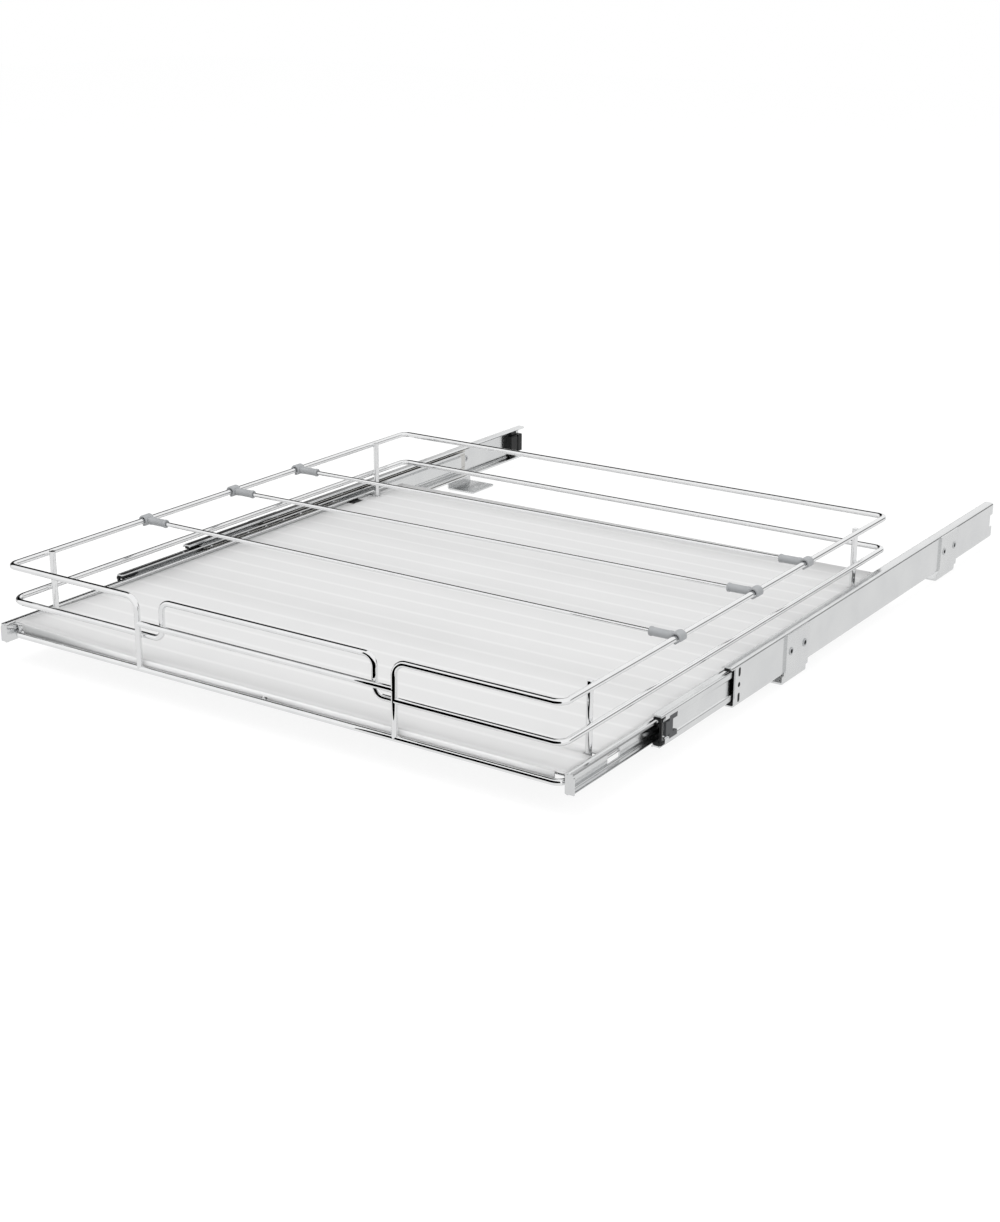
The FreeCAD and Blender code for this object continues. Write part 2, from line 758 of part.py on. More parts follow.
def main():
    os.makedirs("parts", exist_ok=True)
    outer_start = rail_front + outer_cage_start
    inner_start = basket_front + inner_cage_start
    outer_steps = list(zip((outer_cage_edge_out, outer_cage_web_out), outer_cage_step))
    for side in sides:
        export(outer_member(side), side + "_outer_member")
        export(middle_member(side), side + "_middle_member")
        export(inner_member(side), side + "_inner_member")
        outer = (outer_start, outer_cage_length, outer_ball_pitch)
        inner = (inner_start, inner_cage_length, inner_ball_pitch)
        export(cage(side, *outer, outer_row_out, outer_row_z, outer_cage_edge_out, outer_steps),
               side + "_outer_ball_cage")
        export(balls(side, *outer, outer_row_out, outer_row_z), side + "_outer_balls")
        export(cage(side, *inner, inner_row_out, inner_row_z, inner_cage_web_out, []), side + "_inner_ball_cage")
        export(balls(side, *inner, inner_row_out, inner_row_z), side + "_inner_balls")
        export(middle_cap(side), side + "_middle_bumper_cap")
        export(cap_clip(side, clip_seat_gap), side + "_cap_clip")
        export(front_collar(side), side + "_front_collar")
        export(rear_stop(side), side + "_rear_stop")
        export(release_lever(side), side + "_release_lever")
        export(lever_rivet(side), side + "_lever_rivet")
        for which, y in bracket_places().items():
            export(bracket(side, y), side + "_" + which + "_bracket")
        for which, setback in side_post_setbacks.items():
            export(side_post(side, basket_front + setback), side + "_" + which + "_side_post")
    export(bracket_rivets(), "bracket_rivets")
    base = base_frame()
    export(base, "base_frame_wire")
    top = top_wire(base)
    export(top, "top_rim_wire")
    export(middle_wire(top), "middle_wire")
    export(front_bar(top), "front_bar")
    export(front_loop(), "front_loop_wire")
    export(floor_cross_wires(), "floor_cross_wires")
    export(floor_centre_wire(base), "floor_centre_wire")
    export(floor_liner(), "floor_liner")
    for which in divider_ends:
        export(divider_rod_shape(which), which + "_divider_rod")
        for side in sides:
            export(divider_clip(which, side), which + "_divider_" + side + "_clip")


main()
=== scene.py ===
"""Pull-out cabinet organizer: a chrome wire basket on two ball-bearing slides, dressed for a studio picture.

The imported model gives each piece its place, and the classes below give it its finish and add the small
forms that the solids leave out. Their sizes are in millimetres in the model's own frame, and MM turns them
to Blender's metres. The studio alone is in metres, where a name doesn't end in _mm.
"""

import logging
import math
from dataclasses import dataclass, field
from enum import Enum
from typing import Any, Iterable, Sequence

import bmesh
import bpy
from mathutils import Matrix, Vector


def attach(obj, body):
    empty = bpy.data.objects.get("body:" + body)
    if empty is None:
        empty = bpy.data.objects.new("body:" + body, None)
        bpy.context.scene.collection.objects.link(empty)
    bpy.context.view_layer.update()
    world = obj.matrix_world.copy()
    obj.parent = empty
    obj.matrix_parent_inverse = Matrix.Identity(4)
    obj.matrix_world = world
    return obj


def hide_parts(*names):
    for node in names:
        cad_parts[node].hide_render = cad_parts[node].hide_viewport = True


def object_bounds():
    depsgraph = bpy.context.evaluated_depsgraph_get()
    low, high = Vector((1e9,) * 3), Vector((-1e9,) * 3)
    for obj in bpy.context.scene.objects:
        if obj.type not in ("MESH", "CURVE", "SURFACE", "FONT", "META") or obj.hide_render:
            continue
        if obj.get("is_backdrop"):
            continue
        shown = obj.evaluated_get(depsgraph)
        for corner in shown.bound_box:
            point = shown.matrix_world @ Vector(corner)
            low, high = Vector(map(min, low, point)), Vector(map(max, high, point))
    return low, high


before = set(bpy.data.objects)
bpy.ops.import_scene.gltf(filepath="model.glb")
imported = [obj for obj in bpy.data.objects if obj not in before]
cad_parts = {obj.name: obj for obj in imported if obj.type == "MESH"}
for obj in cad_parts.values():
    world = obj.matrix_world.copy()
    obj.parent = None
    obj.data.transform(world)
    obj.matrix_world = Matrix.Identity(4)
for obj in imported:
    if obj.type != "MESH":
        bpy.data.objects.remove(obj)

log = logging.getLogger("organizer")
MM = 0.001
Colour = tuple[float, float, float, float]
Span = tuple[float, float]
Tree = bpy.types.NodeTree
Socket = bpy.types.NodeSocket
WHOLE: Span = (0.0, 1.0)


class Side(Enum):
    """The two slides, with the sign of their X."""

    LEFT = -1
    RIGHT = 1

    @property
    def label(self) -> str:
        """The word that starts the names of this side's pieces."""
        return self.name.lower()


class Grain(Enum):
    """The direction in which a metal surface was rolled or drawn, as a scale along each axis."""

    ALONG_SLIDE = (1.0, 0.02, 1.0)
    ACROSS_PLATE = (1.0, 0.05, 1.0)
    NONE = (1.0, 1.0, 1.0)


# Material helpers

def linear(code: str) -> Colour:
    """Turn an sRGB hex colour to the linear values that a shader takes, by the standard's own numbers.

    Args:
        code: six hex digits after a hash sign.

    Returns:
        Red, green, blue and alpha.
    """
    values = [int(code[i:i + 2], 16) / 255.0 for i in (1, 3, 5)]
    parts = [v / 12.92 if v <= 0.04045 else ((v + 0.055) / 1.055) ** 2.4 for v in values]
    return (parts[0], parts[1], parts[2], 1.0)


def add_node(tree: Tree, kind: str, settings: dict[str, Any] | None = None,
             inputs: dict[Any, Any] | None = None) -> bpy.types.Node:
    """Add a node to a tree.

    Args:
        tree: the node tree.
        kind: the node's type name.
        settings: the values of its own attributes.
        inputs: for each input, by its name or number, a plain value or the output that feeds it.

    Returns:
        The new node.
    """
    node = tree.nodes.new(kind)
    for key, value in (settings or {}).items():
        setattr(node, key, value)
    for key, value in (inputs or {}).items():
        if isinstance(value, Socket):
            tree.links.new(value, node.inputs[key])
        else:
            node.inputs[key].default_value = value
    return node


def noise(tree: Tree, place: Socket, size_mm: float, detail: float = 2.0) -> Socket:
    """Draw an uneven pattern.

    Args:
        tree: the node tree.
        place: where on the piece it is drawn.
        size_mm: about how wide its patches are.
        detail: how finely they are broken up.

    Returns:
        The pattern, from 0 to 1.
    """
    return add_node(tree, "ShaderNodeTexNoise", {},
                    {"Vector": place, "Scale": 1 / (size_mm * MM), "Detail": detail}).outputs["Fac"]


def maths(tree: Tree, operation: str, *values: Any, clamp: bool = False) -> Socket:
    """Work out one step of arithmetic.

    Args:
        tree: the node tree.
        operation: the step's name.
        values: what it works on, each a number or an output.
        clamp: whether the result is held between 0 and 1.

    Returns:
        The result.
    """
    return add_node(tree, "ShaderNodeMath", {"operation": operation, "use_clamp": clamp},
                    dict(enumerate(values))).outputs[0]


def remap(tree: Tree, value: Socket, start: Span, end: Span = WHOLE, smooth: bool = False) -> Socket:
    """Turn one span of a value to another, and hold it at the span's ends.

    Args:
        tree: the node tree.
        value: the value.
        start: the span that it comes in.
        end: the span that it is turned to.
        smooth: whether it eases in and out.

    Returns:
        The new value.
    """
    return add_node(tree, "ShaderNodeMapRange", {"interpolation_type": "SMOOTHSTEP" if smooth else "LINEAR"},
                    {"Value": value, "From Min": start[0], "From Max": start[1],
                     "To Min": end[0], "To Max": end[1]}).outputs[0]


def mix(tree: Tree, share: Socket, first: Any, second: Any) -> Socket:
    """Mix two colours, each a hex code or an output.

    Args:
        tree: the node tree.
        share: how much of the second there is, from 0 to 1.
        first: the first colour.
        second: the second colour.

    Returns:
        The mixed colour.
    """
    pair = [linear(colour) if isinstance(colour, str) else colour for colour in (first, second)]
    return add_node(tree, "ShaderNodeMix", {"data_type": "RGBA"},
                    {0: share, 6: pair[0], 7: pair[1]}).outputs[2]


def coat(tree: Tree, tone: Socket, haze: Socket, height: Socket, relief: float, depth_mm: float,
         more: dict[str, float]) -> None:
    """Join a material's colour, roughness and fine relief in one surface.

    Args:
        tree: the node tree.
        tone: its colour.
        haze: its roughness.
        height: the pattern of its relief.
        relief: how strongly the relief shows.
        depth_mm: how deep the relief is.
        more: the surface's other inputs.
    """
    bump = add_node(tree, "ShaderNodeBump", {},
                    {"Height": height, "Strength": relief, "Distance": depth_mm * MM}).outputs[0]
    shader = add_node(tree, "ShaderNodeBsdfPrincipled", {},
                      {"Base Color": tone, "Roughness": haze, "Normal": bump, **more})
    add_node(tree, "ShaderNodeOutputMaterial", {}, {"Surface": shader.outputs[0]})


def new_material(name: str) -> tuple[bpy.types.Material, Tree]:
    """Make an empty node material.

    Args:
        name: the material's name.

    Returns:
        The material and its node tree.
    """
    material = bpy.data.materials.new(name)
    material.use_nodes = True
    material.node_tree.nodes.clear()
    return material, material.node_tree


# Finishes

@dataclass(frozen=True)
class ChromePlate:
    """Bright chrome over drawn steel wire: a mirror with a faint cold tint and a slight drawn waviness."""

    name: str = "chrome_plated_drawn_wire"
    colour: str = "#F2F2F2"
    tint: str = "#E6E7E8"
    roughness: Span = (0.02, 0.05)
    rough_waves: Span = (0.3, 0.8)
    wave_mm: float = 14.0
    wave_depth_mm: float = 0.02
    relief: float = 0.25

    def build(self) -> bpy.types.Material:
        """Build the plated wire's material.

        Returns:
            The material.
        """
        material, tree = new_material(self.name)
        place = add_node(tree, "ShaderNodeTexCoord").outputs["Object"]
        wave = noise(tree, place, self.wave_mm)
        tone = mix(tree, wave, self.colour, self.tint)
        haze = remap(tree, wave, self.rough_waves, self.roughness)
        coat(tree, tone, haze, wave, self.relief, self.wave_depth_mm, {"Metallic": 1.0})
        return material


@dataclass(frozen=True)
class ZincPlate:
    """Plated strip steel, cold rolled: a pale satin metal with fine lines along the rolling direction.

    Real rolling lines lie about 0.05 mm apart. They are drawn wider, so that they show.
    """

    name: str
    colour: str
    shade: str
    roughness: Span
    grain: Grain
    line_mm: float = 0.7
    line_depth_mm: float = 0.012
    line_share: float = 0.45
    cloud_mm: float = 35.0
    detail: float = 3.0
    pale_tones: Span = (0.45, 0.95)
    rough_lines: Span = (0.25, 0.75)
    relief: float = 0.2
    anisotropy: float = 0.4

    def build(self) -> bpy.types.Material:
        """Build the plated strip's material: rolled lines over a soft cloudy tone.

        Returns:
            The material.
        """
        material, tree = new_material(self.name)
        place = add_node(tree, "ShaderNodeTexCoord").outputs["Object"]
        along = add_node(tree, "ShaderNodeMapping", {}, {"Vector": place, "Scale": self.grain.value})
        lines = noise(tree, along.outputs[0], self.line_mm, self.detail)
        cloud = noise(tree, place, self.cloud_mm, self.detail)
        blend = maths(tree, "MULTIPLY_ADD", lines, self.line_share, cloud)
        tone = mix(tree, remap(tree, blend, self.pale_tones), self.shade, self.colour)
        haze = remap(tree, lines, self.rough_lines, self.roughness)
        coat(tree, tone, haze, lines, self.relief, self.line_depth_mm,
             {"Metallic": 1.0, "Anisotropic": self.anisotropy})
        return material


@dataclass(frozen=True)
class MouldedPlastic:
    """Injection-moulded plastic: an even colour with a fine spark-eroded grain and a soft sheen.

    The mould's real grain is about 0.1 mm. It is drawn coarser, so that it shows.
    """

    name: str
    colour: str
    cloudy: str
    roughness: Span
    shine: float = 0.5
    grain_mm: float = 0.5
    grain_depth_mm: float = 0.02
    cloud_mm: float = 14.0
    relief: float = 0.3
    index: float = 1.48

    def build(self) -> bpy.types.Material:
        """Build the moulded plastic's material.

        Returns:
            The material.
        """
        material, tree = new_material(self.name)
        place = add_node(tree, "ShaderNodeTexCoord").outputs["Object"]
        grain = noise(tree, place, self.grain_mm)
        tone = mix(tree, noise(tree, place, self.cloud_mm), self.colour, self.cloudy)
        haze = remap(tree, grain, WHOLE, self.roughness)
        coat(tree, tone, haze, grain, self.relief, self.grain_depth_mm,
             {"IOR": self.index, "Specular IOR Level": self.shine})
        return material


@dataclass(frozen=True)
class FrostedSheet:
    """Extruded frosted polypropylene: pale and matt, with a painted stripe of light over each floor wire.

    The stripes are painted light, for the light that a chrome wire under the thin sheet throws back up
    through it. Its front lip has a painted highlight, and painted shade where the sheet has sprung up over a
    shaded gap. The real grain of the frosting is about 0.1 mm, and is drawn coarser, so that it shows.
    """

    name: str = "frosted_extruded_polypropylene"
    colour: str = "#D6D6D6"
    deep: str = "#D0D0D0"
    # painted light: a paler tone for the stripe over each floor wire
    bright: str = "#E6E6E6"
    # painted shade: the lip's grey where the sheet has sprung up over a shaded gap
    lip: str = "#C2C3C3"
    # painted highlight: the lip's near-white tone where it faces the front
    glow: str = "#FAFAFA"
    # the span along X over which the lip's painted highlight turns to painted shade
    lip_painted_shade_mm: Span = (-130.0, -235.0)
    # the facings, by normal, that take the lip's painted highlight and shade
    painted_lip_facing: Span = (-0.5, -0.9)
    roughness: Span = (0.45, 0.62)
    grain_mm: float = 0.8
    grain_detail: float = 3.0
    cloud_mm: float = 90.0
    grain_depth_mm: float = 0.02
    relief: float = 0.2
    shine: float = 0.25
    index: float = 1.49
    wire_pitch_mm: float = 23.0
    first_wire_mm: float = -488.8
    wire_half_mm: float = 3.6
    # how much painted light a floor wire throws back up through the sheet
    wire_light_share: float = 0.38

    def painted_wire_light(self, tree: Tree, along: Socket) -> Socket:
        """Give how much painted light a floor wire throws back up through the sheet at a place.

        Args:
            tree: the material's node tree.
            along: the place's Y.

        Returns:
            A value from 0 between two wires to wire_light_share over a wire.
        """
        middle = 0.5
        turns = maths(tree, "MULTIPLY_ADD", along, 1 / (self.wire_pitch_mm * MM),
                      middle - self.first_wire_mm / self.wire_pitch_mm)
        gap = maths(tree, "ABSOLUTE", maths(tree, "SUBTRACT", maths(tree, "FRACT", turns), middle))
        return remap(tree, gap, (self.wire_half_mm / self.wire_pitch_mm, 0.0), (0.0, self.wire_light_share),
                     smooth=True)

    def build(self) -> bpy.types.Material:
        """Build the sheet's material.

        Returns:
            The material.
        """
        material, tree = new_material(self.name)
        place = add_node(tree, "ShaderNodeTexCoord").outputs["Object"]
        across, along, _ = add_node(tree, "ShaderNodeSeparateXYZ", {}, {0: place}).outputs
        normal = add_node(tree, "ShaderNodeNewGeometry").outputs["Normal"]
        facing = add_node(tree, "ShaderNodeSeparateXYZ", {}, {0: normal}).outputs[1]
        sheet = mix(tree, noise(tree, place, self.cloud_mm), self.colour, self.deep)
        # painted light: pale stripes over the floor wires
        painted_stripe_tone = mix(tree, self.painted_wire_light(tree, along), sheet, self.bright)
        # painted shade: more of the lip's grey towards the sprung corner
        sprung = remap(tree, across, (self.lip_painted_shade_mm[0] * MM, self.lip_painted_shade_mm[1] * MM), smooth=True)
        # painted highlight and shade on the faces that face the front, chosen by their normal
        tone = mix(tree, remap(tree, facing, self.painted_lip_facing), painted_stripe_tone, mix(tree, sprung, self.glow, self.lip))
        grain = noise(tree, place, self.grain_mm, self.grain_detail)
        haze = remap(tree, grain, WHOLE, self.roughness)
        coat(tree, tone, haze, grain, self.relief, self.grain_depth_mm,
             {"IOR": self.index, "Specular IOR Level": self.shine})
        return material


Finish = ChromePlate | ZincPlate | MouldedPlastic | FrostedSheet

FINISHES: dict[str, Finish] = {
    # Hard and mirror bright: every black thing near by shows in it as a thin dark line.
    "chrome": ChromePlate(),
    # Rolled to a fine finish: a flat web is one pale tone, streaked along the slide by its rolling lines.
    "slide": ZincPlate("zinc_plated_rolled_slide_steel", "#E2E3E3", "#D9DADB", (0.13, 0.22),
                       Grain.ALONG_SLIDE),
    # Cut and bent from plain strip: a little duller than the slide, with shorter lines.
    "bracket": ZincPlate("zinc_plated_bracket_steel", "#E3E4E4", "#D8D9DA", (0.22, 0.31),
                         Grain.ACROSS_PLATE, anisotropy=0.2),
    # Thin and slightly warm in tone, seen only in the dark between two members.
    "cage": ZincPlate("nickel_plated_cage_strip", "#D2D1CE", "#BDBCB9", (0.2, 0.29), Grain.ALONG_SLIDE,
                      line_mm=0.5),
    # Ground and polished, with no direction, so each ball has one small bright spot.
    "ball": ZincPlate("polished_bearing_steel", "#DADBDD", "#C4C6C9", (0.08, 0.17), Grain.NONE,
                      anisotropy=0.0),
    # Headed cold and plated: greyer than the strip that it holds.
    "rivet": ZincPlate("nickel_plated_rivet_steel", "#CFD0D1", "#ABADAF", (0.16, 0.25), Grain.NONE,
                       anisotropy=0.0),
    # Nearly black, with only a thin sheen along its rounded edges.
    "black": MouldedPlastic("black_moulded_acetal", "#08090A", "#121314", (0.25, 0.4), shine=0.3),
    # The cap's clip: one step lighter, which parts it from the cap's shadow.
    "dark": MouldedPlastic("dark_grey_moulded_acetal", "#3C3D3F", "#47494B", (0.35, 0.5)),
    # Soft and waxy, so it takes no hard highlight beside the chrome.
    "grey": MouldedPlastic("grey_moulded_polyethylene", "#A4A6A8", "#989A9C", (0.4, 0.55)),
    # Milky and matt: no highlight runs over it, and only painted light and shade, in stripes over the wires
    # and on its lip, break its even tone.
    "liner": FrostedSheet(),
}


@dataclass
class Finishes:
    """The built materials, made once each and shared by every piece."""

    made: dict[str, bpy.types.Material] = field(default_factory=dict)

    def get(self, key: str) -> bpy.types.Material:
        """Give a finish's material, and build it the first time.

        Args:
            key: the finish's name.

        Returns:
            The material.
        """
        if key not in self.made:
            self.made[key] = FINISHES[key].build()
        return self.made[key]


# Piece helpers

def dress(finishes: Finishes, key: str, nodes: Iterable[str]) -> None:
    """Give carried-over nodes a finish.

    Args:
        finishes: the shared materials.
        key: the finish's name.
        nodes: the nodes' names.
    """
    material = finishes.get(key)
    for name in nodes:
        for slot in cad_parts[name].material_slots:
            slot.material = material
        log.info("dressed %s in %s", name, material.name)


def place_piece(name: str, bm: bmesh.types.BMesh, material: bpy.types.Material, body: str,
                smooth: bool = True) -> bpy.types.Object:
    """Turn a bmesh to a piece that rides on a body.

    Args:
        name: the piece's name.
        bm: its mesh, which is freed.
        material: its material.
        body: the body that it rides on.
        smooth: whether its faces are shaded smooth.

    Returns:
        The new object.
    """
    mesh = bpy.data.meshes.new(name)
    bm.normal_update()
    bm.to_mesh(mesh)
    bm.free()
    mesh.materials.append(material)
    for face in mesh.polygons:
        face.use_smooth = smooth
    piece = bpy.data.objects.new(name, mesh)
    bpy.context.scene.collection.objects.link(piece)
    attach(piece, body)
    log.info("made %s on %s", name, body)
    return piece


def revolve(bm: bmesh.types.BMesh, section: Sequence[Span], centre: Vector, axis: Vector,
            span: Span = (0.0, 360.0), steps: int = 36) -> None:
    """Sweep a closed section of (radius, along) points in mm round an axis.

    Args:
        bm: the mesh that gets the faces.
        section: the section's corners, in order.
        centre: the point that the lengths along the axis start from, in mm.
        axis: the axis's direction.
        span: where the sweep starts and ends, in degrees from straight up.
        steps: how many steps the sweep has.
    """
    nearly_upright = abs(axis.z) > 0.9
    up = Vector((1, 0, 0)) if nearly_upright else Vector((0, 0, 1))
    side = axis.cross(up).normalized()
    up = side.cross(axis).normalized()
    whole = span[1] - span[0] >= 360.0
    count = steps if whole else steps + 1
    rings = []
    for i in range(count):
        turn = math.radians(span[0] + (span[1] - span[0]) * i / steps)
        out = up * math.cos(turn) + side * math.sin(turn)
        ring = [centre + axis * along + out * radius for radius, along in section]
        rings.append([bm.verts.new(point * MM) for point in ring])
    size = len(section)
    for i in range(steps):
        here, there = rings[i], rings[(i + 1) % count]
        for j in range(size):
            bm.faces.new((here[j], here[(j + 1) % size], there[(j + 1) % size], there[j]))
    if not whole:
        bm.faces.new(rings[0])
        bm.faces.new(list(reversed(rings[-1])))


def round_rect(low: Span, high: Span, corner: float, steps: int = 3) -> list[Span]:
    """Give the outline of a rectangle with rounded corners.

    Args:
        low: its lowest corner.
        high: its highest corner.
        corner: the radius of its corners.
        steps: how many steps each corner has.

    Returns:
        The outline's points, in order.
    """
    points = []
    for cx, cy, first in ((high[0] - corner, high[1] - corner, 0), (low[0] + corner, high[1] - corner, 90),
                          (low[0] + corner, low[1] + corner, 180), (high[0] - corner, low[1] + corner, 270)):
        for i in range(steps + 1):
            turn = math.radians(first + 90 * i / steps)
            points.append((cx + corner * math.cos(turn), cy + corner * math.sin(turn)))
    return points


def extrude(bm: bmesh.types.BMesh, outline: Sequence[Vector], along: Vector) -> None:
    """Add a closed prism to a mesh.

    Args:
        bm: the mesh that gets the faces.
        outline: the corners of one end, in mm.
        along: the way from that end to the other, in mm.
    """
    near = [bm.verts.new(p * MM) for p in outline]
    far = [bm.verts.new((p + along) * MM) for p in outline]
    size = len(outline)
    bm.faces.new(near)
    bm.faces.new(list(reversed(far)))
    for i in range(size):
        bm.faces.new((near[i], far[i], far[(i + 1) % size], near[(i + 1) % size]))


def soften(piece: bpy.types.Object, width_mm: float, steps: int = 2, sharp: float = 40.0) -> None:
    """Round the sharp edges of a moulded piece, as its mould does.

    Args:
        piece: the object.
        width_mm: how wide the rounding is.
        steps: how many steps it has.
        sharp: the angle, in degrees, from which an edge is sharp.
    """
    bevel = piece.modifiers.new("moulded_edges", "BEVEL")
    bevel.width = width_mm * MM
    bevel.segments = steps
    bevel.limit_method = "ANGLE"
    bevel.angle_limit = math.radians(sharp)


# The wire basket

@dataclass
class FloorSheet:
    """The frosted sheet on the floor wires, with its front lip and its sprung front left corner."""

    finishes: Finishes
    half: float = 267.2
    lip_half: float = 257.4
    front: float = -492.7
    back: float = 41.1
    level: float = 31.1
    lip_low: float = 26.3
    notch_top: float = 28.2
    notch_half: float = 3.0
    sheet: float = 1.2
    bend: float = 0.9
    bend_steps: int = 4
    lift: float = 4.9
    creep: float = 3.6
    splay: float = 1.6
    lift_reach: Span = (150.0, 120.0)
    post_places: tuple[float, ...] = (-452.7, -10.4)
    post_gap: float = 3.1
    lever_place: float = -39.8
    lever_gap: float = 8.7
    lever_half: float = 260.9
    touch: float = 0.01
    bend_rows: Span = (0.4, 1.2)
    near_rows: tuple[float, float, int] = (6.0, 8.0, 17)
    far_rows: tuple[float, float, int] = (150.0, 60.0, 6)
    near_columns: tuple[float, int] = (6.0, 25)
    far_columns: tuple[float, ...] = (-90.0, -50.0, 60.0, 130.0, 200.0)

    def sprung(self, x: float, y: float) -> float:
        """Give how far the sheet has sprung up at a place.

        Args:
            x: the place's X.
            y: its Y.

        Returns:
            From 0 where it lies flat to 1 at the corner.
        """
        across = max(0.0, min(1.0, (-x - self.half + self.lift_reach[0]) / self.lift_reach[0]))
        along = max(0.0, min(1.0, (self.front + self.lift_reach[1] - y) / self.lift_reach[1]))
        return across ** 2 * along ** 2

    def profile(self) -> list[Span]:
        """Draw the sheet's middle from the lip's low edge to the back.

        Returns:
            Its (y, z) points in order.
        """
        lip = self.front + self.sheet / 2
        line = [(lip, self.lip_low), (lip, self.notch_top)]
        for i in range(self.bend_steps + 1):
            turn = math.radians(90 * i / self.bend_steps)
            line.append((lip + self.bend * (1 - math.cos(turn)),
                         self.level - self.bend * (1 - math.sin(turn))))
        places = [lip + self.bend + row for row in self.bend_rows]
        for first, pitch, count in (self.near_rows, self.far_rows):
            places += [self.front + first + pitch * i for i in range(count)]
        for y in self.post_places:
            places += [y - self.post_gap, y + self.post_gap]
        places += [self.lever_place - self.lever_gap, self.lever_place + self.lever_gap, self.back]
        return line + [(y, self.level) for y in sorted(places)]

    def columns(self) -> list[float]:
        """Place the sheet's columns of faces, which are closest at the sprung corner.

        Returns:
            Their x places in order.
        """
        pitch, count = self.near_columns
        inner = [-self.lip_half + pitch * i for i in range(1, count + 1)]
        inner = sorted(inner + [-self.notch_half, self.notch_half, *self.far_columns])
        edge = [self.lip_half, self.lever_half, self.half]
        return [-x for x in reversed(edge)] + inner + edge

    def open_cell(self, x: float, y: float, z: float) -> bool:
        """Say whether the sheet is cut away at a place.

        Args:
            x: the place's X.
            y: its Y.
            z: its height.

        Returns:
            True round a post, a lever pad or a wire, and past the lip's ends.
        """
        beside_post = abs(x) > self.lip_half and any(abs(y - p) < self.post_gap for p in self.post_places)
        over_lever = abs(x) > self.lever_half and abs(y - self.lever_place) < self.lever_gap
        past_lip = abs(x) > self.lip_half and z < self.level - self.touch
        over_wire = abs(x) < self.notch_half and z < self.notch_top
        return beside_post or over_lever or past_lip or over_wire

    def make(self) -> None:
        """Build the sheet and let it replace its plain solid."""
        bm = bmesh.new()
        line, columns = self.profile(), self.columns()
        grid = []
        for x in columns:
            row = []
            for y, z in line:
                up = self.sprung(x, y) * min(1.0, (z - self.lip_low) / (self.level - self.lip_low))
                place = Vector((x + self.splay * up, y - self.creep * up, z + self.lift * up))
                row.append(bm.verts.new(place * MM))
            grid.append(row)
        for i in range(len(columns) - 1):
            for j in range(len(line) - 1):
                x = (columns[i] + columns[i + 1]) / 2
                y, z = ((line[j][k] + line[j + 1][k]) / 2 for k in (0, 1))
                if not self.open_cell(x, y, z):
                    bm.faces.new((grid[i][j], grid[i + 1][j], grid[i + 1][j + 1], grid[i][j + 1]))
        bmesh.ops.delete(bm, geom=[v for v in bm.verts if not v.link_faces], context="VERTS")
        piece = place_piece("frosted_floor_sheet", bm, self.finishes.get("liner"), "basket")
        skin = piece.modifiers.new("sheet_thickness", "SOLIDIFY")
        skin.thickness = self.sheet * MM
        skin.offset = 0.0
        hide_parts("floor_liner")


@dataclass
class WireBasket:
    """The chrome basket: rims, posts, floor wires and their resistance welds."""

    finishes: Finishes
    front: float = -495.8
    frame_half: float = 265.5
    post_half: float = 124.4
    base: float = 25.2
    middle: float = 54.7
    rim: float = 84.1
    bar: float = 62.7
    loop_low: float = 52.1
    wire: float = 2.5
    cross_wire: float = 1.4
    cross_level: float = 29.1
    cross_first: float = -488.8
    cross_pitch: float = 23.0
    cross_count: int = 24
    side_posts: tuple[float, ...] = (-452.7, -10.4)
    weld_gap: float = 2.6
    cross_weld: tuple[float, ...] = (1.9, 1.9, 0.7)
    foot_weld: tuple[float, ...] = (2.9, 1.9, 0.8)
    butt_weld: tuple[float, ...] = (0.8, 1.9, 2.8)
    loop_weld: tuple[float, ...] = (2.4, 0.8, 2.4)
    post_weld: tuple[float, ...] = (0.8, 2.4, 2.4)
    ripple: float = 0.14
    ripple_turns: Span = (5.1, 2.3)

    def dress(self) -> None:
        """Give the basket's nodes their finishes."""
        wires = ["base_frame_wire", "top_rim_wire", "middle_wire", "front_bar", "front_loop_wire",
                 "floor_cross_wires", "floor_centre_wire"]
        posts = [f"{side.label}_{end}_side_post" for side in Side for end in ("front", "rear")]
        dress(self.finishes, "chrome", wires + posts)

    def weld_places(self) -> list[tuple[Vector, Sequence[float]]]:
        """Place the welds.

        Returns:
            The middle and the half sizes of each.
        """
        places = []
        cross_weld_level = (self.base + self.wire + self.cross_level - self.cross_wire) / 2
        for i in range(self.cross_count):
            y = self.cross_first + i * self.cross_pitch
            for x in (-self.frame_half, 0.0, self.frame_half):
                places.append((Vector((x, y, cross_weld_level)), self.cross_weld))
        for side in Side:
            x, beside = side.value * self.post_half, side.value * self.weld_gap
            places.append((Vector((x, self.front, self.base + self.weld_gap)), self.foot_weld))
            places.append((Vector((x + beside, self.front, self.middle)), self.butt_weld))
            places.append((Vector((x - beside, self.front, self.bar)), self.butt_weld))
            places.append((Vector((x, self.front + self.wire, self.loop_low)), self.loop_weld))
            for y in self.side_posts:
                for z in (self.base, self.middle, self.rim):
                    place = Vector((side.value * (self.frame_half - self.wire), y, z))
                    places.append((place, self.post_weld))
        return places

    def welds(self) -> None:
        """Build the small plated lumps where the wires are welded."""
        bm = bmesh.new()
        for count, (place, size) in enumerate(self.weld_places()):
            made = bmesh.ops.create_icosphere(bm, subdivisions=2, radius=1.0)["verts"]
            for i, vert in enumerate(made):
                turn = self.ripple_turns[0] * count + self.ripple_turns[1] * i
                swell = 1.0 + self.ripple * math.sin(turn)
                vert.co = (place + Vector([vert.co[k] * size[k] * swell for k in range(3)])) * MM
        place_piece("wire_weld_nuggets", bm, self.finishes.get("chrome"), "basket")

    def make(self) -> None:
        """Build and dress the basket."""
        self.dress()
        self.welds()


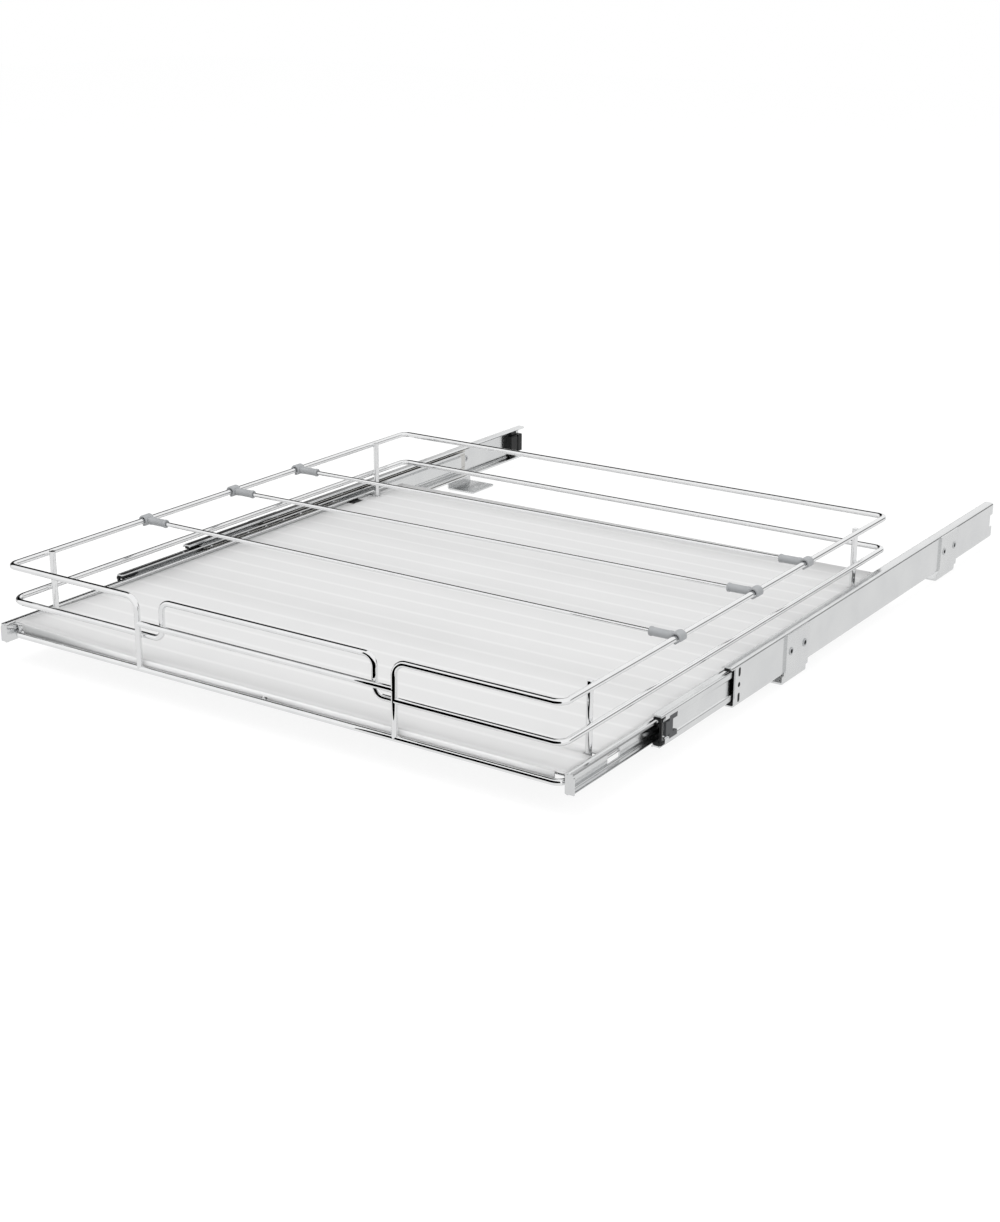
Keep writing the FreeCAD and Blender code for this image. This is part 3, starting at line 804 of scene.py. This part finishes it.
@dataclass
class Dividers:
    """Three rods across the rim, held by grey snap clips."""

    finishes: Finishes
    ends: dict[str, Span] = field(default_factory=lambda: {
        "front": (160.1, 159.5), "middle": (275.0, 284.4), "rear": (368.3, 376.6)})
    basket_front: float = -495.8
    frame_half: float = 265.5
    rim: float = 84.1
    bore: float = 2.8
    ring: float = 4.8
    ring_half: float = 5.0
    ring_corner: float = 0.8
    ring_steps: int = 40
    mouth: float = 62.0
    mouth_turn: float = 35.0
    root: float = 0.9
    neck: float = 3.0
    shoulder: float = 3.6
    shoulder_span: tuple[float, float, float] = (1.2, 3.2, 3.8)
    sleeve: float = 3.35
    sleeve_steps: int = 32
    bead: float = 3.7
    bead_span: tuple[float, float, float] = (2.6, 2.1, 0.5)
    chamfer: float = 0.4
    edge: float = 0.3
    reach: float = 24.1
    rod: float = 1.85

    def rim_place(self, where: str, side: Side) -> Vector:
        """Give the place on the rim wire that one end of a divider is clipped to.

        Args:
            where: which divider it is.
            side: which of its ends.

        Returns:
            The wire's middle there.
        """
        left, right = self.ends[where]
        y = left if side is Side.LEFT else right
        return Vector((side.value * self.frame_half, self.basket_front + y, self.rim))

    def sleeve_section(self) -> list[Span]:
        """Draw the sleeve from its neck and shoulder to its end bead.

        Returns:
            The outline's (radius, along) points in order.
        """
        start, end = self.bore + self.root, self.reach
        rise, top, fall = self.shoulder_span
        swell, crown, round_off = self.bead_span
        return [(self.rod, start), (self.neck, start), (self.shoulder, start + rise),
                (self.shoulder, start + top), (self.sleeve, start + fall), (self.sleeve, end - swell),
                (self.bead, end - crown), (self.bead, end - round_off), (self.bead - round_off, end),
                (self.rod + self.chamfer, end), (self.rod, end - self.chamfer)]

    def clip(self, where: str, side: Side) -> None:
        """Build one snap clip: an open ring on the rim wire and a beaded sleeve on the rod's end.

        Args:
            where: which divider it belongs to.
            side: which end of the divider it is.
        """
        here = self.rim_place(where, side)
        other = self.rim_place(where, Side.RIGHT if side is Side.LEFT else Side.LEFT)
        bm = bmesh.new()
        ring = round_rect((self.bore, -self.ring_half), (self.ring, self.ring_half), self.ring_corner)
        mouth = 180.0 - side.value * self.mouth_turn
        revolve(bm, ring, here, Vector((0, 1, 0)), (mouth + self.mouth / 2, mouth + 360.0 - self.mouth / 2),
                self.ring_steps)
        revolve(bm, self.sleeve_section(), here, (other - here).normalized(), steps=self.sleeve_steps)
        bmesh.ops.recalc_face_normals(bm, faces=bm.faces)
        piece = place_piece(f"{where}_{side.label}_snap_clip", bm, self.finishes.get("grey"),
                            f"{where}_divider")
        soften(piece, self.edge)
        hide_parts(f"{where}_divider_{side.label}_clip")

    def make(self) -> None:
        """Dress the rods and build their clips."""
        dress(self.finishes, "chrome", [f"{where}_divider_rod" for where in self.ends])
        for where in self.ends:
            for side in Side:
                self.clip(where, side)


@dataclass
class Slide:
    """One telescopic slide with its cages, balls, plastic ends, lever and brackets."""

    finishes: Finishes
    side: Side
    face: float = 268.0
    level: float = 26.5
    middle_front: dict[Side, float] = field(default_factory=lambda: {Side.LEFT: -363.0, Side.RIGHT: -381.0})
    node_edge: float = 0.3
    cap_out: Span = (7.7, 10.35)
    cap_lip_out: float = 3.4
    cap_half: Span = (8.75, 10.95)
    cap_length: float = 6.0
    cap_plate: float = 2.2
    cap_corner: float = 0.7
    cap_edge: float = 0.22
    hollow: float = 0.9
    hollow_steps: int = 12
    lobe: float = 1.9
    lobe_corner: float = 0.35
    lobe_core: float = 0.0001
    join_gap: float = 0.01
    lobe_steps: int = 20
    nose: float = 0.9
    stop_span: Span = (255.5, 277.0)
    stop_out: Span = (4.4, 11.5)
    stop_half: float = 9.8
    stop_corner: float = 1.2
    stop_edge: float = 0.35
    waist_back: float = 2.0
    waist_half: float = 1.2
    waist_depth: Span = (0.175, 0.14)
    foot_out: Span = (7.5, 9.9)
    foot_top: float = 15.9
    foot_sunk: float = 0.6
    foot_corner: float = 0.4
    foot_start: float = 5.0
    foot_length: float = 9.0

    def at(self, out: float, y: float, up: float) -> Vector:
        """Give a point of the slide.

        Args:
            out: how far out of the basket it is.
            y: its Y.
            up: its height over the slide's middle.

        Returns:
            The point.
        """
        return Vector((self.side.value * (self.face + out), y, self.level + up))

    def dress(self) -> None:
        """Give the slide's nodes their finishes, and round the moulded ones."""
        name = self.side.label
        clip = f"{name}_cap_clip"
        kept = [f"{name}_front_collar", f"{name}_release_lever"]
        replaced = [f"{name}_middle_bumper_cap", f"{name}_rear_stop"]
        dress(self.finishes, "slide", [f"{name}_{part}_member" for part in ("outer", "middle", "inner")])
        dress(self.finishes, "cage", [f"{name}_{part}_ball_cage" for part in ("outer", "inner")])
        dress(self.finishes, "ball", [f"{name}_{part}_balls" for part in ("outer", "inner")])
        dress(self.finishes, "black", kept + replaced)
        dress(self.finishes, "dark", [clip])
        dress(self.finishes, "rivet", [f"{name}_lever_rivet"])
        dress(self.finishes, "bracket", [f"{name}_{part}_bracket" for part in ("front", "rear")])
        for node in kept + [clip]:
            soften(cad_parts[node], self.node_edge)

    def finish_moulding(self, bm: bmesh.types.BMesh, piece_name: str, body: str,
                        edge: float) -> bpy.types.Object:
        """Turn a mesh to a black moulded piece.

        Args:
            bm: the mesh, which is freed.
            piece_name: the piece's name.
            body: the body that it rides on.
            edge: how wide its edges are rounded.

        Returns:
            The new object.
        """
        bmesh.ops.recalc_face_normals(bm, faces=bm.faces)
        piece = place_piece(piece_name, bm, self.finishes.get("black"), body, smooth=False)
        soften(piece, edge)
        return piece

    def cap(self) -> None:
        """Build the black bumper cap: a hollowed front plate between two lobed buffers, with lips inward."""
        front = self.middle_front[self.side]
        low, high = self.cap_half
        inner, outer = self.cap_out
        bm = bmesh.new()
        plate = []
        for i in range(self.hollow_steps + 1):
            up = high * (1 - 2 * i / self.hollow_steps)
            plate.append(self.at(inner + self.hollow * (1 - (up / high) ** 2), front, up))
        plate += [self.at(outer, front, -high), self.at(outer, front, high)]
        extrude(bm, plate, Vector((0, self.cap_plate, 0)))
        lobe = round_rect((self.lobe_core, 0.0), (self.lobe, outer - inner), self.lobe_corner)
        for hand in (1, -1):
            block = round_rect((self.cap_lip_out, low), (outer, high), self.cap_corner)
            extrude(bm, [self.at(out, front, hand * up) for out, up in block],
                    Vector((0, self.cap_length, 0)))
            revolve(bm, lobe, self.at(inner, front + self.lobe - self.nose, hand * (high - self.lobe)),
                    Vector((self.side.value, 0, 0)), steps=self.lobe_steps)
        bmesh.ops.remove_doubles(bm, verts=bm.verts, dist=self.join_gap * MM)
        name = self.side.label
        piece = self.finish_moulding(bm, f"{name}_moulded_cap", f"{name}_middle", self.cap_edge)
        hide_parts(f"{name}_middle_bumper_cap")

    def stop(self) -> None:
        """Build the black rubber stop at the rear end: a block with a narrow waist, and two feet."""
        bm = bmesh.new()
        start, end = self.stop_span
        inner, outer = self.stop_out
        centre = (inner + outer) / 2
        block = round_rect((inner, -self.stop_half), (outer, self.stop_half), self.stop_corner)
        middle = (start + end) / 2 + self.waist_back
        waist_start, waist_end = middle - self.waist_half, middle + self.waist_half
        whole, waist = (1.0, 1.0), (1 - self.waist_depth[0], 1 - self.waist_depth[1])
        for first, last, size in ((start, waist_start, whole), (waist_start, waist_end, waist),
                                  (waist_end, end, whole)):
            outline = [self.at(centre + (out - centre) * size[0], first, up * size[1]) for out, up in block]
            extrude(bm, outline, Vector((0, last - first, 0)))
        foot = round_rect((self.foot_out[0], self.stop_half - self.foot_sunk),
                          (self.foot_out[1], self.foot_top), self.foot_corner)
        for hand in (1, -1):
            extrude(bm, [self.at(out, start + self.foot_start, hand * up) for out, up in foot],
                    Vector((0, self.foot_length, 0)))
        name = self.side.label
        piece = self.finish_moulding(bm, f"{name}_rubber_stop", "cabinet_side", self.stop_edge)
        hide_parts(f"{name}_rear_stop")

    def make(self) -> None:
        """Dress the slide and build its bumper cap and rear stop."""
        self.dress()
        self.cap()
        self.stop()


# The studio

@dataclass(frozen=True)
class Flag:
    """A black cloth that polished metal sees as a dark line: the span of its direction along each axis."""

    x: Span
    y: Span
    z: Span
    depth: float
    soft: float = 0.05


@dataclass(frozen=True)
class Lamp:
    """A soft square lamp that faces the object: its place and its side's length in metres, and its watts."""

    name: str
    place: tuple[float, float, float]
    size: float
    watts: float


@dataclass
class Studio:
    """A pale floor, a white surround, soft lamps and the camera at the photograph's place."""

    white: Colour = (1.0, 1.0, 1.0, 1.0)
    black: Colour = (0.0, 0.0, 0.0, 1.0)
    floor_half: float = 6.0
    floor_cells: int = 4
    floor_below_mm: float = 0.5
    floor_plain: float = 0.8
    floor_shade: float = 0.16
    floor_white: float = 0.88
    floor_tone: float = 0.86
    horizon: Span = (-0.12, 0.02)
    world_level: float = 0.72
    card_x_mm: Span = (45.0, 345.0)
    card_y_mm: float = -562.0
    card_z_mm: Span = (14.0, 122.0)
    flags: tuple[Flag, ...] = (
        Flag((-1.2, -0.32), (-0.06, 0.77), (0.28, 1.2), 1.0),
        Flag((-1.2, -0.32), (-0.06, 0.77), (-0.02, 0.28), 0.9),
        Flag((-0.6, -0.3), (0.02, 0.2), (0.2, 1.2), 1.0, soft=0.03),
        Flag((-1.2, -0.2), (0.3, 1.2), (-0.42, 0.02), 0.85),
        Flag((0.25, 1.2), (0.5, 1.2), (-0.02, 0.28), 0.8),
    )
    lamps: tuple[Lamp, ...] = (
        Lamp("overhead_softbox", (-0.4, -0.9, 2.6), 2.2, 42.0),
        Lamp("side_softbox", (2.4, -0.8, 1.6), 1.6, 14.0),
    )
    location_mm: tuple[float, float, float] = (902.64, -1527.48, 570.06)
    yaw: float = 33.7072
    pitch: float = 19.1393
    roll: float = 0.3071
    focal_px: float = 1947.78
    long_side_px: float = 1222.0
    sensor_mm: float = 36.0

    def camera(self) -> None:
        """Stand the camera where the photograph was taken from."""
        yaw, pitch, roll = (math.radians(a) for a in (self.yaw, self.pitch, self.roll))
        ahead = Vector((-math.sin(yaw) * math.cos(pitch), math.cos(yaw) * math.cos(pitch), -math.sin(pitch)))
        level = Vector((math.cos(yaw), math.sin(yaw), 0.0))
        up = level.cross(ahead)
        right = math.cos(roll) * level + math.sin(roll) * up
        top = -math.sin(roll) * level + math.cos(roll) * up
        data = bpy.data.cameras.new("studio_camera")
        data.sensor_fit = "AUTO"
        data.sensor_width = self.sensor_mm
        data.lens = self.focal_px * self.sensor_mm / self.long_side_px
        camera = bpy.data.objects.new("studio_camera", data)
        turn = Matrix((right, top, -ahead)).transposed().to_4x4()
        camera.matrix_world = Matrix.Translation(Vector(self.location_mm) * MM) @ turn
        bpy.context.scene.collection.objects.link(camera)
        bpy.context.scene.camera = camera

    def plate(self, name: str, bm: bmesh.types.BMesh, material: bpy.types.Material) -> bpy.types.Object:
        """Turn a bmesh to a plain plate of the studio.

        Args:
            name: the plate's name.
            bm: its mesh, which is freed.
            material: its material.

        Returns:
            The new object.
        """
        mesh = bpy.data.meshes.new(name)
        bm.to_mesh(mesh)
        bm.free()
        mesh.materials.append(material)
        plate = bpy.data.objects.new(name, mesh)
        bpy.context.scene.collection.objects.link(plate)
        return plate

    def floor(self) -> None:
        """Lay the pale floor, which keeps a light shadow."""
        material, tree = new_material("pale_painted_floor")
        plain, shade = (add_node(tree, "ShaderNodeBsdfDiffuse", {}, {"Color": (tone, tone, tone, 1.0)})
                        for tone in (self.floor_plain, self.floor_shade))
        white = add_node(tree, "ShaderNodeEmission", {}, {"Color": self.white, "Strength": self.floor_white})
        seen = add_node(tree, "ShaderNodeAddShader", {}, {0: shade.outputs[0], 1: white.outputs[0]})
        rays = add_node(tree, "ShaderNodeLightPath").outputs
        direct = maths(tree, "MAXIMUM", rays["Is Camera Ray"], rays["Is Transmission Ray"])
        both = add_node(tree, "ShaderNodeMixShader", {},
                        {0: direct, 1: plain.outputs[0], 2: seen.outputs[0]})
        add_node(tree, "ShaderNodeOutputMaterial", {}, {"Surface": both.outputs[0]})
        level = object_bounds()[0][2] - self.floor_below_mm * MM
        bm = bmesh.new()
        bmesh.ops.create_grid(bm, x_segments=self.floor_cells, y_segments=self.floor_cells,
                              size=self.floor_half)
        floor = self.plate("studio_floor", bm, material)
        floor.location.z = level
        floor.visible_glossy = False  # polished metal sees the surround's own floor tone and flags instead
        floor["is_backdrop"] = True

    def card(self) -> None:
        """Stand a black card before the basket's right half, which only polished metal sees."""
        material, tree = new_material("black_card")
        black = add_node(tree, "ShaderNodeBsdfDiffuse", {}, {"Color": self.black})
        add_node(tree, "ShaderNodeOutputMaterial", {}, {"Surface": black.outputs[0]})
        left, right = self.card_x_mm
        low, high = self.card_z_mm
        bm = bmesh.new()
        bm.faces.new([bm.verts.new(Vector((x, self.card_y_mm, z)) * MM)
                      for x, z in ((left, low), (right, low), (right, high), (left, high))])
        card = self.plate("black_card", bm, material)
        for ray in ("camera", "diffuse", "transmission", "volume_scatter", "shadow"):
            setattr(card, f"visible_{ray}", False)
        card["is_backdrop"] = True

    def flag_mask(self, tree: Tree, axes: Sequence[Socket], flag: Flag) -> Socket:
        """Give how dark a flag makes each direction of the surround.

        Args:
            tree: the world's node tree.
            axes: the three parts of the direction.
            flag: the black cloth.

        Returns:
            A value from 0 outside the cloth to its depth inside it.
        """
        mask = flag.depth
        for part, span in zip(axes, (flag.x, flag.y, flag.z)):
            for edge, soft in zip(span, (flag.soft, -flag.soft)):
                step = remap(tree, part, (edge - soft, edge + soft), smooth=True)
                mask = maths(tree, "MULTIPLY", mask, step)
        return mask

    def surround(self) -> None:
        """Set the white surround, with the black flags that only polished metal sees.

        A ray that isn't from the camera, a reflection or a see-through surface finds a softer white.
        """
        world = bpy.data.worlds.new("studio_world")
        world.use_nodes = True
        tree = world.node_tree
        tree.nodes.clear()
        place = add_node(tree, "ShaderNodeTexCoord").outputs["Generated"]
        axes = list(add_node(tree, "ShaderNodeSeparateXYZ", {}, {0: place}).outputs)
        level = remap(tree, axes[2], self.horizon, (self.floor_tone, 1.0))
        for flag in self.flags:
            level = maths(tree, "SUBTRACT", level, self.flag_mask(tree, axes, flag), clamp=True)
        rays = add_node(tree, "ShaderNodeLightPath").outputs
        tone = add_node(tree, "ShaderNodeMix", {"data_type": "FLOAT"},
                        {0: rays["Is Glossy Ray"], 2: 1.0, 3: level})
        first = maths(tree, "MAXIMUM", rays["Is Camera Ray"], rays["Is Glossy Ray"])
        seen = maths(tree, "MAXIMUM", first, rays["Is Transmission Ray"])
        glow = add_node(tree, "ShaderNodeMix", {"data_type": "FLOAT"},
                        {0: seen, 2: self.world_level, 3: tone.outputs[0]})
        back = add_node(tree, "ShaderNodeBackground", {}, {"Color": self.white, "Strength": glow.outputs[0]})
        add_node(tree, "ShaderNodeOutputWorld", {}, {"Surface": back.outputs[0]})
        bpy.context.scene.world = world

    def hang(self, lamp: Lamp) -> None:
        """Hang a lamp, which isn't itself seen in the metal.

        Args:
            lamp: the lamp.
        """
        data = bpy.data.lights.new(lamp.name, "AREA")
        data.shape = "SQUARE"
        data.size = lamp.size
        data.energy = lamp.watts
        light = bpy.data.objects.new(lamp.name, data)
        light.location = lamp.place
        light.rotation_euler = (-Vector(lamp.place)).to_track_quat("-Z", "Y").to_euler()
        light.visible_glossy = False
        bpy.context.scene.collection.objects.link(light)

    def make(self) -> None:
        """Build the studio."""
        bpy.context.scene.view_settings.view_transform = "Standard"
        self.camera()
        self.floor()
        self.card()
        self.surround()
        for lamp in self.lamps:
            self.hang(lamp)


def main() -> None:
    """Build every sub-assembly in order."""
    logging.basicConfig(level=logging.INFO, format="%(name)s: %(message)s")
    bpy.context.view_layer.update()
    finishes = Finishes()
    Studio().make()
    WireBasket(finishes).make()
    FloorSheet(finishes).make()
    Dividers(finishes).make()
    for side in Side:
        Slide(finishes, side).make()
    dress(finishes, "rivet", ["bracket_rivets"])


if __name__ == "__main__":
    main()
